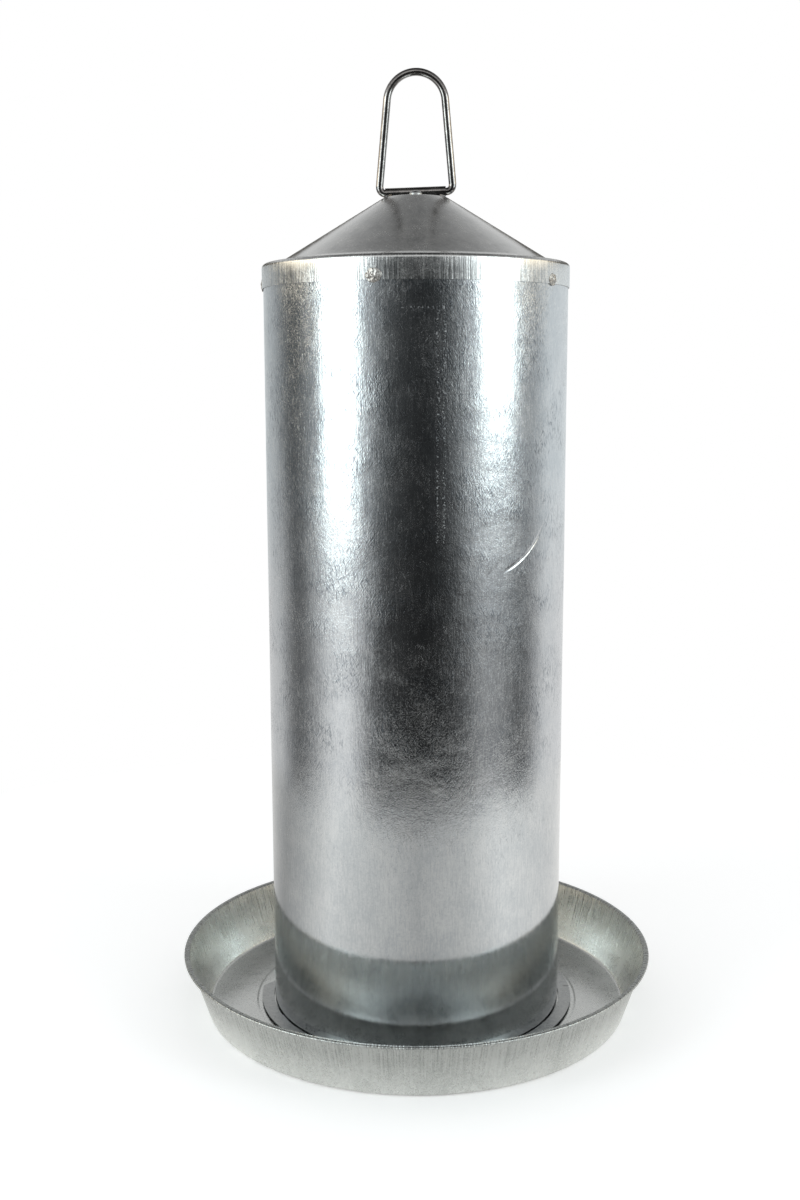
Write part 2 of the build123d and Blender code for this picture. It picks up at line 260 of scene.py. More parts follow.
def unroll(piece, radius):
    """Store where each point lies on the sheet, as the draw marks run: round and along."""
    mesh = piece.data
    places = np.empty(len(mesh.vertices) * 3)
    mesh.vertices.foreach_get("co", places)
    places = places.reshape(-1, 3)
    reach = np.maximum(np.hypot(places[:, 0], places[:, 1]), 1e-6)
    along = places[:, 2] - reach
    drawn = np.stack([places[:, 0] / reach * radius, places[:, 1] / reach * radius, along], axis=1)
    mesh.attributes.new("drawn", "FLOAT_VECTOR", "POINT").data.foreach_set("vector", drawn.ravel())


def sheet_waves(depth, low, high, seed):
    """A function of azimuth and height: the slight waves of a rolled or drawn sheet, fading
    to nothing at its low and high edges."""
    draw = np.random.default_rng(seed)
    waves = [
        (int(draw.integers(2, 12)), draw.uniform(8, 60), draw.uniform(0, 2 * pi), draw.uniform(0.3, 1.0))
        for _ in range(9)
    ]
    total = sum(size for *_, size in waves)

    def shift(azimuth, height):
        edge = min(height - low, high - height) / (0.2 * (high - low))
        fade = min(max(edge, 0.0), 1.0)
        swell = sum(size * sin(turns * azimuth + rise * height + phase) for turns, rise, phase, size in waves)
        return depth * fade * swell / total

    return shift


# Materials

def linear(colour):
    """A colour in sRGB hex as linear red, green, blue and alpha."""
    parts = [int(colour[place:place + 2], 16) / 255 for place in (1, 3, 5)]
    return tuple(part / 12.92 if part <= 0.04045 else ((part + 0.055) / 1.055) ** 2.4 for part in parts) + (1.0,)


def add(tree, kind, inputs=None, **settings):
    """One node, with its settings, and its inputs as values or as links from other sockets."""
    made = tree.nodes.new(kind)
    for name, value in settings.items():
        setattr(made, name, value)
    for socket, value in (inputs or {}).items():
        if isinstance(value, bpy.types.NodeSocket):
            tree.links.new(value, made.inputs[socket])
        else:
            made.inputs[socket].default_value = value
    return made


def new_material(name):
    """An empty material and its node tree."""
    material = bpy.data.materials.new(name)
    material.use_nodes = True
    material.node_tree.nodes.clear()
    return material, material.node_tree


def zinc_sheet(name, finish, marks=None):
    """Galvanised steel sheet. The zinc is a metal mirror that is bright where the rolls or the
    draw polished it and dull where handling scuffed it, with flecks, furrows and clouds.
    finish gives real sizes in mm, and marks may add scratches of their own to the dull mask."""
    material, tree = new_material(name)
    lie = add(tree, "ShaderNodeTexCoord").outputs["Object"]
    height = add(tree, "ShaderNodeSeparateXYZ", {"Vector": lie}).outputs[2]
    place = lie
    if finish["follows_sheet"]:
        place = add(tree, "ShaderNodeAttribute", attribute_name="drawn").outputs["Vector"]
    clouds = add(tree, "ShaderNodeTexNoise", {
        "Vector": place, "Scale": 1 / (finish["cloud"] * MM), "Detail": 4.0, "Roughness": 0.6,
    })
    flecks = add(tree, "ShaderNodeTexNoise", {
        "Vector": place, "Scale": 1 / (finish["fleck"] * MM), "Detail": 3.0, "Roughness": 0.65, "Distortion": 1.2,
    })
    stretched = add(tree, "ShaderNodeMapping", {"Vector": place, "Scale": (1.0, 1.0, finish["furrow_stretch"])})
    furrows = add(tree, "ShaderNodeTexNoise", {
        "Vector": stretched.outputs[0], "Scale": 1 / (finish["furrow"] * MM), "Detail": 3.0, "Roughness": 0.55,
    })
    drawn = add(tree, "ShaderNodeMapRange", {
        "Value": height, "From Min": finish["drawn_from"] * MM, "From Max": finish["drawn_to"] * MM,
        "To Min": finish["furrow_least"], "To Max": 1.0,
    })
    centred = add(tree, "ShaderNodeMath", {0: furrows.outputs["Fac"], 1: 0.5}, operation="SUBTRACT")
    furrowed = add(tree, "ShaderNodeMath", {0: centred.outputs[0], 1: drawn.outputs[0]}, operation="MULTIPLY")
    clouded = add(tree, "ShaderNodeMath", {
        0: clouds.outputs["Fac"], 1: finish["cloud_share"], 2: flecks.outputs["Fac"],
    }, operation="MULTIPLY_ADD")
    uneven = add(tree, "ShaderNodeMath", {
        0: furrowed.outputs[0], 1: finish["furrow_share"], 2: clouded.outputs[0],
    }, operation="MULTIPLY_ADD")
    worn = add(tree, "ShaderNodeMapRange", {
        "Value": uneven.outputs[0], "From Min": finish["worn_from"], "From Max": finish["worn_to"],
    })
    handled = add(tree, "ShaderNodeMapRange", {
        "Value": height, "From Min": finish["handled_from"] * MM, "From Max": finish["handled_to"] * MM,
        "To Min": finish["handled_least"], "To Max": 1.0,
    })
    scuffed = add(tree, "ShaderNodeMath", {0: worn.outputs[0], 1: handled.outputs[0]}, operation="MULTIPLY")
    dull = scuffed.outputs[0]
    relief = None
    scores = None
    if marks:
        dull, relief, scores = marks(tree, dull, handled.outputs[0])
    polish = add(tree, "ShaderNodeMapRange", {
        "Value": dull, "To Min": finish["bright"], "To Max": finish["dull"],
    }, clamp=False)
    roughness = add(tree, "ShaderNodeMath", {
        0: drawn.outputs[0], 1: finish["drawn_dulling"], 2: polish.outputs[0],
    }, operation="MULTIPLY_ADD")
    shade = add(tree, "ShaderNodeMapRange", {
        "Value": uneven.outputs[0], "From Min": finish["tone_from"], "From Max": finish["tone_to"],
    })
    colour = add(tree, "ShaderNodeMix", {
        0: shade.outputs[0], 6: linear(finish["dark_colour"]), 7: linear(finish["colour"]),
    }, data_type="RGBA")
    # Painted shade: between two heights the colour is multiplied towards grey #8d8f8d, which darkens the pan towards
    # its rim
    painted_rim_shade = add(tree, "ShaderNodeMapRange", {
        "Value": height, "From Min": finish["painted_rim_shade_from"] * MM, "From Max": finish["painted_rim_shade_to"] * MM,
        "To Max": finish["painted_rim_shade"],
    })
    shaded_scored_colour = add(tree, "ShaderNodeMix", {
        0: painted_rim_shade.outputs[0], 6: colour.outputs[2], 7: linear("#8d8f8d"),
    }, data_type="RGBA", blend_type="MULTIPLY").outputs[2]
    if scores:
        shaded_scored_colour = add(tree, "ShaderNodeMix", {
            0: scores, 6: shaded_scored_colour, 7: linear("#9aa0a6"),
        }, data_type="RGBA", blend_type="MULTIPLY").outputs[2]
    dented = add(tree, "ShaderNodeMath", {0: flecks.outputs["Fac"], 1: handled.outputs[0]}, operation="MULTIPLY")
    fleck_bump = add(tree, "ShaderNodeBump", {
        "Height": dented.outputs[0], "Distance": finish["fleck_height"] * MM, "Strength": 1.0,
    })
    furrow_bump = add(tree, "ShaderNodeBump", {
        "Height": furrowed.outputs[0], "Distance": finish["furrow_height"] * MM, "Strength": 1.0,
        "Normal": fleck_bump.outputs[0],
    })
    normal = furrow_bump.outputs[0]
    if relief:
        normal = add(tree, "ShaderNodeBump", {
            "Height": relief, "Distance": 1.0 * MM, "Strength": 1.0, "Normal": normal,
        }).outputs[0]
    zinc = add(tree, "ShaderNodeBsdfPrincipled", {
        "Base Color": shaded_scored_colour, "Metallic": 1.0, "Roughness": roughness.outputs[0], "Normal": normal,
    })
    add(tree, "ShaderNodeOutputMaterial", {"Surface": zinc.outputs[0]})
    return material


# What every finish shares unless it says otherwise: nothing in it depends on height
EVEN = {
    "follows_sheet": False, "cloud_share": 1.0, "furrow_share": 0.2, "furrow_least": 1.0,
    "drawn_from": -2.0, "drawn_to": -1.0, "drawn_dulling": 0.0,
    "handled_from": -2.0, "handled_to": -1.0, "handled_least": 1.0,
    "painted_rim_shade_from": 2000.0, "painted_rim_shade_to": 3000.0, "painted_rim_shade": 0.0,
}


def rolled_cover_zinc():
    """Sheet from a bright rolled coil: nearly a mirror, with clouded scuffs from handling."""
    return zinc_sheet("rolled_galvanised_sheet", EVEN | {
        "follows_sheet": True, "colour": "#d8dadb", "dark_colour": "#c4c8cb",
        "cloud": 26.0, "fleck": 1.5, "furrow": 1.0, "furrow_stretch": 0.12,
        "cloud_share": 0.8, "furrow_share": 0.8, "worn_from": 0.72, "worn_to": 1.25,
        "bright": 0.07, "dull": 0.26, "tone_from": 0.7, "tone_to": 1.1,
        "fleck_height": 0.08, "furrow_height": 0.045,
        "handled_from": 90.0, "handled_to": 230.0, "handled_least": 0.15,
    }, marks=cover_scratches)


def cover_scratches(tree, dull, handled):
    """What has marked the cover, laid out on its unrolled shell: a long curved groove on the
    right, a strip of crumbs that a tape left, and a tangle of hairlines. It gives the dull mask
    with these on it, and their relief in mm."""
    place = add(tree, "ShaderNodeSeparateXYZ", {"Vector": add(tree, "ShaderNodeTexCoord").outputs["Object"]})
    height = place.outputs[2]
    forward = add(tree, "ShaderNodeMath", {0: place.outputs[1], 1: -1.0}, operation="MULTIPLY")
    angle = add(tree, "ShaderNodeMath", {0: place.outputs[0], 1: forward.outputs[0]}, operation="ARCTAN2")
    around = add(tree, "ShaderNodeMath", {0: angle.outputs[0], 1: cover_radius}, operation="MULTIPLY").outputs[0]
    unrolled = add(tree, "ShaderNodeCombineXYZ", {0: around, 1: height}).outputs[0]

    # The groove is an arc of 80 mm radius, and fades where it starts and ends
    offset = add(tree, "ShaderNodeVectorMath", {0: unrolled, 1: (34.9 * MM, 414.7 * MM, 0.0)}, operation="SUBTRACT")
    reach = add(tree, "ShaderNodeVectorMath", {0: offset.outputs[0]}, operation="LENGTH")
    aside = add(tree, "ShaderNodeMath", {0: reach.outputs["Value"], 1: 80.0 * MM}, operation="SUBTRACT")
    distance = add(tree, "ShaderNodeMath", {0: aside.outputs[0]}, operation="ABSOLUTE")
    line = add(tree, "ShaderNodeMapRange", {
        "Value": distance.outputs[0], "From Min": 0.2 * MM, "From Max": 1.7 * MM, "To Min": 1.0, "To Max": 0.0,
    }, interpolation_type="SMOOTHSTEP")
    inside = add(tree, "ShaderNodeMapRange", {"Value": around, "From Min": 60.0 * MM, "From Max": 72.0 * MM})
    below = add(tree, "ShaderNodeMapRange", {"Value": height, "From Min": 369.0 * MM, "From Max": 355.0 * MM})
    started = add(tree, "ShaderNodeMath", {0: line.outputs[0], 1: inside.outputs[0]}, operation="MULTIPLY")
    groove = add(tree, "ShaderNodeMath", {0: started.outputs[0], 1: below.outputs[0]}, operation="MULTIPLY")
    dull = add(tree, "ShaderNodeMath", {0: groove.outputs[0], 1: 1.0, 2: dull}, operation="MULTIPLY_ADD").outputs[0]
    relief = add(tree, "ShaderNodeMath", {0: groove.outputs[0], 1: -0.3}, operation="MULTIPLY").outputs[0]

    # The tape's two edges are 4.5 mm apart, and only crumbs of them are left
    crumbs = add(tree, "ShaderNodeTexNoise", {"Vector": unrolled, "Scale": 1 / (1.5 * MM), "Detail": 2.0})
    ragged = add(tree, "ShaderNodeTexNoise", {"Vector": unrolled, "Scale": 1 / (5.0 * MM), "Detail": 2.0})
    left = add(tree, "ShaderNodeMapRange", {
        "Value": crumbs.outputs["Fac"], "From Min": 0.54, "From Max": 0.64, "To Max": 1.8,
    })
    wander = add(tree, "ShaderNodeMath", {
        0: ragged.outputs["Fac"], 1: 5.0 * MM, 2: around,
    }, operation="MULTIPLY_ADD")
    off_middle = add(tree, "ShaderNodeMath", {0: wander.outputs[0], 1: 17.7 * MM}, operation="SUBTRACT")
    to_edge = add(tree, "ShaderNodeMath", {0: off_middle.outputs[0]}, operation="ABSOLUTE")
    edge = add(tree, "ShaderNodeMath", {0: to_edge.outputs[0], 1: 2.25 * MM, 2: 0.7 * MM}, operation="COMPARE")
    span = add(tree, "ShaderNodeMath", {0: height, 1: 436.0 * MM, 2: 76.0 * MM}, operation="COMPARE")
    upright = add(tree, "ShaderNodeMath", {0: edge.outputs[0], 1: span.outputs[0]}, operation="MULTIPLY")
    row = add(tree, "ShaderNodeMath", {0: height, 1: 511.0 * MM, 2: 0.6 * MM}, operation="COMPARE")
    width = add(tree, "ShaderNodeMath", {0: around, 1: 5.0 * MM, 2: 15.0 * MM}, operation="COMPARE")
    level = add(tree, "ShaderNodeMath", {0: row.outputs[0], 1: width.outputs[0]}, operation="MULTIPLY")
    tape = add(tree, "ShaderNodeMath", {0: upright.outputs[0], 1: level.outputs[0]}, operation="MAXIMUM")
    dull = add(tree, "ShaderNodeMath", {
        0: tape.outputs[0], 1: left.outputs[0], 2: dull,
    }, operation="MULTIPLY_ADD").outputs[0]

    # Hairlines in three directions, drawn 0.9 mm wide, coarser than the real ones, to show
    patches = add(tree, "ShaderNodeTexNoise", {"Vector": unrolled, "Scale": 1 / (34.0 * MM), "Detail": 3.0})
    rubbed = add(tree, "ShaderNodeMapRange", {
        "Value": patches.outputs["Fac"], "From Min": 0.42, "From Max": 0.62, "To Min": 0.1, "To Max": 1.0,
    })
    upper = add(tree, "ShaderNodeMath", {0: handled, 1: 2.0}, operation="POWER")
    depth = add(tree, "ShaderNodeMath", {0: rubbed.outputs[0], 1: upper.outputs[0]}, operation="MULTIPLY")
    scores = 0.0
    for lean, length, depth_share in ((30.0, 8.0, 0.10), (-34.0, 6.0, 0.10), (3.0, 12.0, 0.08)):
        along = add(tree, "ShaderNodeMapping", {
            "Vector": unrolled, "Rotation": (0.0, 0.0, radians(lean)), "Scale": (0.9 * MM, length * MM, 1.0),
        }, vector_type="TEXTURE")
        hairs = add(tree, "ShaderNodeTexNoise", {
            "Vector": along.outputs[0], "Scale": 1.0, "Detail": 2.0, "Roughness": 0.6,
        })
        hair = add(tree, "ShaderNodeMapRange", {
            "Value": hairs.outputs["Fac"], "From Min": 0.62, "From Max": 0.74, "To Max": 0.9,
        })
        scored = add(tree, "ShaderNodeMapRange", {
            "Value": hairs.outputs["Fac"], "From Min": 0.58, "From Max": 0.68, "To Max": depth.outputs[0],
        })
        scores = add(tree, "ShaderNodeMath", {0: scores, 1: scored.outputs[0]}, operation="MAXIMUM").outputs[0]
        dull = add(tree, "ShaderNodeMath", {0: dull, 1: hair.outputs[0]}, operation="ADD").outputs[0]
        raised = add(tree, "ShaderNodeMath", {0: hairs.outputs["Fac"], 1: depth.outputs[0]}, operation="MULTIPLY")
        relief = add(tree, "ShaderNodeMath", {
            0: raised.outputs[0], 1: depth_share, 2: relief,
        }, operation="MULTIPLY_ADD").outputs[0]
    return dull, relief, scores


def drawn_pan_zinc():
    """Deep-drawn sheet: dull, faintly green zinc with the draw's fine upright furrows, with
    painted shade that darkens it towards the rim."""
    return zinc_sheet("drawn_galvanised_pan", EVEN | {
        "follows_sheet": True, "colour": "#ebedeb", "dark_colour": "#c3c6c4",
        "cloud": 22.0, "fleck": 1.7, "furrow": 1.3, "furrow_stretch": 0.03,
        "cloud_share": 0.7, "furrow_share": 1.8, "worn_from": 0.6, "worn_to": 1.1,
        "bright": 0.20, "dull": 0.38, "tone_from": 0.5, "tone_to": 1.05,
        "fleck_height": 0.05, "furrow_height": 0.8, "furrow_least": 0.03,
        "drawn_from": 12.0, "drawn_to": 34.0, "drawn_dulling": 0.0,
        "painted_rim_shade_from": 4.0, "painted_rim_shade_to": 30.0, "painted_rim_shade": 0.5,
    })


def drawn_cap_zinc():
    """The cap's zinc: mottled and dull on the cone, furrowed by the draw on the skirt."""
    return zinc_sheet("drawn_galvanised_cap", EVEN | {
        "follows_sheet": True, "colour": "#e6e7e6", "dark_colour": "#c0c2c2",
        "cloud": 15.0, "fleck": 2.6, "furrow": 1.1, "furrow_stretch": 0.04,
        "cloud_share": 1.1, "furrow_share": 1.2, "worn_from": 0.75, "worn_to": 1.35,
        "bright": 0.13, "dull": 0.28, "tone_from": 0.65, "tone_to": 1.35,
        "fleck_height": 0.02, "furrow_height": 0.2, "furrow_least": 0.03,
        "drawn_from": 546.0, "drawn_to": 544.0, "drawn_dulling": 0.02,
    })


def plain_zinc():
    """Galvanised strip and sheet where neither the rolls nor the draw left a direction."""
    return zinc_sheet("galvanised_strip", EVEN | {
        "colour": "#d0d2d1", "dark_colour": "#a4a7a7", "cloud": 25.0, "fleck": 3.0,
        "furrow": 1.5, "furrow_stretch": 0.5, "worn_from": 0.7, "worn_to": 1.2,
        "bright": 0.22, "dull": 0.45, "tone_from": 0.8, "tone_to": 1.2,
        "fleck_height": 0.015, "furrow_height": 0.005,
    })


def plated_wire():
    """Zinc-plated steel gone dark: still a clean mirror, with the slight lines of the die."""
    return zinc_sheet("darkened_plated_steel", EVEN | {
        "colour": "#a9a6a3", "dark_colour": "#6f6c6b", "cloud": 15.0, "fleck": 1.5,
        "furrow": 0.8, "furrow_stretch": 0.1, "worn_from": 0.8, "worn_to": 1.3,
        "bright": 0.06, "dull": 0.2, "tone_from": 0.8, "tone_to": 1.2,
        "fleck_height": 0.01, "furrow_height": 0.003,
    })


def tarnished_solder():
    """Tin solder laid on by hand: lumpy, dull grey, brown where the flux burnt."""
    return zinc_sheet("tarnished_solder", EVEN | {
        "colour": "#cfcdc9", "dark_colour": "#8d847c", "cloud": 6.0, "fleck": 1.2,
        "furrow": 1.0, "furrow_stretch": 1.0, "worn_from": 0.7, "worn_to": 1.2,
        "bright": 0.25, "dull": 0.5, "tone_from": 0.75, "tone_to": 1.1,
        "fleck_height": 0.06, "furrow_height": 0.02,
    })


# Pieces

def placed(piece, node, body, material):
    """Finish a piece that stands for a node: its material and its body."""
    piece.data.materials.clear()
    piece.data.materials.append(material)
    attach(piece, body)
    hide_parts(node)
    return piece


def pressed_pan(material):
    """The pan: a raised centre, a flared wall and a rim that is folded back as a hem."""
    rim_underside = pan_high.z - PAN_SHEET
    rim_root = PAN_FLOOR_RADIUS + rim_underside * tan(PAN_WALL_LEAN)
    hem_radius = pan_high.x - PAN_SHEET
    hem_end = rim_underside - PAN_HEM_GAP
    underside = rounded(
        [
            (0, PLATEAU_RISE),
            (PLATEAU_RADIUS, PLATEAU_RISE),
            (PLATEAU_RADIUS + PLATEAU_SLOPE, 0),
            (PAN_FLOOR_RADIUS, 0),
            (rim_root, rim_underside),
            (hem_radius, rim_underside),
            (hem_radius, hem_end),
            (hem_radius - PAN_HEM_RETURN, hem_end),
        ],
        [PLATEAU_BEND, PLATEAU_BEND, PAN_FLOOR_BEND, PAN_RIM_BEND, PAN_HEM_BEND, PAN_HEM_BEND],
    )
    outline = bent_sheet(divided(underside, SHEET_STEP), PAN_SHEET)
    piece = turned("pressed_pan", outline)
    unroll(piece, PAN_FLOOR_RADIUS)
    return placed(piece, "pan", "base", material)


def rolled_cover(material):
    """The cover's shell, its bayonet tabs turned out at the foot and its level hole."""
    inner_radius = cover_radius - COVER_SHEET
    outside = divided([Vector((cover_radius, cover_low.z)), Vector((cover_radius, cover_high.z))], SHEET_STEP)
    outline = outside + [Vector((point.x - COVER_SHEET, point.y)) for point in outside[::-1]]
    waves = sheet_waves(0.12 * MM, cover_low.z, cover_high.z, seed=4)
    vertices, faces = turned("rolled_cover", outline, joined=True, shift=waves)
    tab_sides = 8
    for tab in range(TAB_COUNT):
        middle = TAB_AZIMUTH + tab * 360 / TAB_COUNT
        first = len(vertices)
        for side in range(tab_sides + 1):
            azimuth = radians(middle + TAB_ANGLE * (side / tab_sides - 0.5))
            for reach in (inner_radius + COVER_SHEET / 4, TAB_RADIUS):
                for height in (cover_low.z, cover_low.z + COVER_SHEET):
                    vertices.append((reach * cos(azimuth), reach * sin(azimuth), height))
        for side in range(tab_sides):
            near = first + 4 * side
            far = near + 4
            faces += [
                (near, near + 1, far + 1, far),
                (near + 2, far + 2, far + 3, near + 3),
                (near, far, far + 2, near + 2),
                (near + 1, near + 3, far + 3, far + 1),
            ]
        last = first + 4 * tab_sides
        faces += [(first, first + 2, first + 3, first + 1), (last, last + 1, last + 3, last + 2)]
    piece = mesh_piece("rolled_cover", vertices, faces)
    azimuth = radians(LEVEL_HOLE_AZIMUTH)
    start = (0.9 * inner_radius * cos(azimuth), 0.9 * inner_radius * sin(azimuth), LEVEL_HOLE_HEIGHT)
    bored(piece, start, (cos(azimuth), sin(azimuth), 0), LEVEL_HOLE_RADIUS, 0.2 * cover_radius)
    unroll(piece, cover_radius)
    return placed(piece, "cover_cylinder", "cover", material)


def pressed_cap(material):
    """The cap: a flat apex with two rivet holes, a cone, a narrow ledge and a skirt."""
    outside = rounded(
        [
            (0, apex_height),
            (APEX_RADIUS, apex_height),
            (cap_radius - LEDGE_WIDTH, SHOULDER_HEIGHT + LEDGE_RISE),
            (cap_radius, SHOULDER_HEIGHT),
            (cap_radius, cap_low.z),
        ],
        [APEX_BEND, CONE_BASE_BEND, SHOULDER_BEND],
    )
    outline = bent_sheet(divided(outside, SHEET_STEP), -CAP_SHEET)
    piece = turned("pressed_cap", outline)
    for side in (-1, 1):
        start = (0, side * RIVET_OFFSET, apex_height - 2 * MM)
        bored(piece, start, (0, 0, 1), RIVET_HOLE_RADIUS, 4 * MM)
    unroll(piece, cap_radius)
    return placed(piece, "top_cap", "cover", material)


def rivets(material):
    """Two tubular rivets with domed heads and a small sunk centre."""
    head_seat = apex_height + 1.0 * MM
    tail_seat = apex_height - CAP_SHEET - 1.0 * MM
    vertices = []
    faces = []
    for side in (-1, 1):
        dome = [Vector((0, rivets_high.z - 1.2 * MM)), Vector((1.1 * MM, rivets_high.z - 1.2 * MM))]
        for step in range(9):
            angle = radians(14 + 76 * step / 8)
            dome.append(Vector((4.5 * MM * sin(angle), head_seat + (rivets_high.z - head_seat) * cos(angle) ** 0.8)))
        outline = dome + [
            Vector((RIVET_SHANK_RADIUS, head_seat)),
            Vector((RIVET_SHANK_RADIUS, tail_seat)),
            Vector((4.0 * MM, tail_seat)),
            Vector((3.2 * MM, rivets_low.z + 0.6 * MM)),
            Vector((0, rivets_low.z)),
        ]
        more_vertices, more_faces = turned("rivet", outline, (0, side * RIVET_OFFSET), 40, joined=True)
        first = len(vertices)
        vertices += more_vertices
        faces += [tuple(first + corner for corner in face) for face in more_faces]
    piece = mesh_piece("turned_rivets", vertices, faces)
    return placed(piece, "handle_rivets", "cover", material)


def handle_route():
    """The wire's centre line: an arch, two leaning legs and the bar, which is a little askew."""
    slope = tan(BAR_TILT)
    lean = tan(HANDLE_LEAN)
    reach = ARCH_RADIUS / cos(HANDLE_LEAN) + (ARCH_LIFT - HANDLE_SHIFT * slope) * lean
    right = HANDLE_SHIFT + reach / (1 + slope * lean)
    left = HANDLE_SHIFT - reach / (1 - slope * lean)
    arch_centre = Vector((HANDLE_SHIFT, BAR_HEIGHT + ARCH_LIFT))
    arch_steps = 40
    arch = []
    for step in range(arch_steps + 1):
        angle = HANDLE_LEAN + (pi - 2 * HANDLE_LEAN) * step / arch_steps
        arch.append(arch_centre + ARCH_RADIUS * Vector((cos(angle), sin(angle))))
    corners = [arch[-1], (left, BAR_HEIGHT + left * slope), (right, BAR_HEIGHT + right * slope), arch[0]]
    lower = rounded([tuple(corner) for corner in corners], [HANDLE_BEND, HANDLE_BEND])
    return divided(arch[1:-1] + lower, 3 * MM)


def wire_loop(material):
    """The handle's wire as one closed tube round its route."""
    route = handle_route()
    sides = 24
    vertices = []
    for index, point in enumerate(route):
        along = (route[(index + 1) % len(route)] - route[index - 1]).normalized()
        outward = Vector((along.y, -along.x))
        for side in range(sides):
            angle = 2 * pi * side / sides
            ring = point + outward * WIRE_RADIUS * cos(angle)
            vertices.append((ring.x, WIRE_RADIUS * sin(angle), ring.y))
    faces = []
    for index in range(len(route)):
        following = (index + 1) % len(route)
        for side in range(sides):
            onward = (side + 1) % sides
            faces.append((
                index * sides + side, following * sides + side, following * sides + onward, index * sides + onward,
            ))
    piece = mesh_piece("wire_loop", vertices, faces)
    return placed(piece, "handle_wire", "handle", material)


def repeated(name, tree, values):
    """A plain mesh made by a geometry tree, its named inputs set to values."""
    piece = bpy.data.objects.new(name, bpy.data.meshes.new(name))
    bpy.context.scene.collection.objects.link(piece)
    modifier = piece.modifiers.new(name, "NODES")
    modifier.node_group = tree
    for item in tree.interface.items_tree:
        if item.in_out == "INPUT" and item.name in values:
            modifier[item.identifier] = values[item.name]
    return finished(piece)


def lump_tree(name, sockets):
    """A geometry tree with named inputs, and its input and output nodes."""
    tree = bpy.data.node_groups.new(name, "GeometryNodeTree")
    for socket, kind in sockets.items():
        tree.interface.new_socket(socket, in_out="INPUT", socket_type=kind)
    tree.interface.new_socket("Geometry", in_out="OUTPUT", socket_type="NodeSocketGeometry")
    return tree, tree.nodes.new("NodeGroupInput"), tree.nodes.new("NodeGroupOutput")


def solder_tacks(material):
    """Lumps of solder over the skirt's edge, spaced evenly round the cap."""
    tree, given, result = lump_tree("solder_tacks", {
        "Count": "NodeSocketInt", "Radius": "NodeSocketFloat", "Height": "NodeSocketFloat",
        "Start": "NodeSocketFloat", "Width": "NodeSocketFloat", "Depth": "NodeSocketFloat",
        "Tallness": "NodeSocketFloat", "Material": "NodeSocketMaterial",
    })
    ring = add(tree, "GeometryNodeMeshCircle", {"Vertices": given.outputs["Count"], "Radius": given.outputs["Radius"]})
    lump = add(tree, "GeometryNodeMeshIcoSphere", {"Radius": 1.0, "Subdivisions": 5})
    size = add(tree, "ShaderNodeCombineXYZ", {
        "X": given.outputs["Depth"], "Y": given.outputs["Width"], "Z": given.outputs["Tallness"],
    })
    index = add(tree, "GeometryNodeInputIndex")
    pitch = add(tree, "ShaderNodeMath", {0: 2 * pi, 1: given.outputs["Count"]}, operation="DIVIDE")
    turn = add(tree, "ShaderNodeMath", {0: index.outputs[0], 1: pitch.outputs[0]}, operation="MULTIPLY")
    facing = add(tree, "ShaderNodeCombineXYZ", {"Z": turn.outputs[0]})
    share = add(tree, "FunctionNodeRandomValue", {"Min": 0.6, "Max": 1.05, "Seed": 3}, data_type="FLOAT")
    varied = add(tree, "ShaderNodeVectorMath", {0: size.outputs[0], "Scale": share.outputs[1]}, operation="SCALE")
    lumps = add(tree, "GeometryNodeInstanceOnPoints", {
        "Points": ring.outputs["Mesh"], "Instance": lump.outputs["Mesh"], "Rotation": facing.outputs[0],
        "Scale": varied.outputs[0],
    })
    raised = add(tree, "ShaderNodeCombineXYZ", {"Z": given.outputs["Height"]})
    start = add(tree, "ShaderNodeCombineXYZ", {"Z": given.outputs["Start"]})
    set_round = add(tree, "GeometryNodeTransform", {
        "Geometry": lumps.outputs[0], "Translation": raised.outputs[0], "Rotation": start.outputs[0],
    })
    solid = add(tree, "GeometryNodeRealizeInstances", {"Geometry": set_round.outputs[0]})
    rough = add(tree, "ShaderNodeTexNoise", {"Scale": 420.0, "Detail": 3.0, "Roughness": 0.6})
    centred = add(tree, "ShaderNodeVectorMath", {
        0: rough.outputs["Color"], 1: (0.5, 0.5, 0.5),
    }, operation="SUBTRACT")
    push = add(tree, "ShaderNodeVectorMath", {0: centred.outputs[0], "Scale": 2.2 * MM}, operation="SCALE")
    lumpy = add(tree, "GeometryNodeSetPosition", {"Geometry": solid.outputs[0], "Offset": push.outputs[0]})
    smooth = add(tree, "GeometryNodeSetShadeSmooth", {"Geometry": lumpy.outputs[0]})
    dressed = add(tree, "GeometryNodeSetMaterial", {
        "Geometry": smooth.outputs[0], "Material": given.outputs["Material"],
    })
    tree.links.new(dressed.outputs[0], result.inputs[0])
    piece = repeated("solder_tacks", tree, {
        "Count": TACK_COUNT, "Radius": cap_radius - 0.3 * MM, "Height": tacks_high.z + 3.0 * MM,
        "Start": radians(TACK_AZIMUTH), "Width": 5.6 * MM, "Depth": 0.9 * MM, "Tallness": 4.6 * MM,
        "Material": material,
    })
    return placed(piece, "cap_tacks", "cover", material)


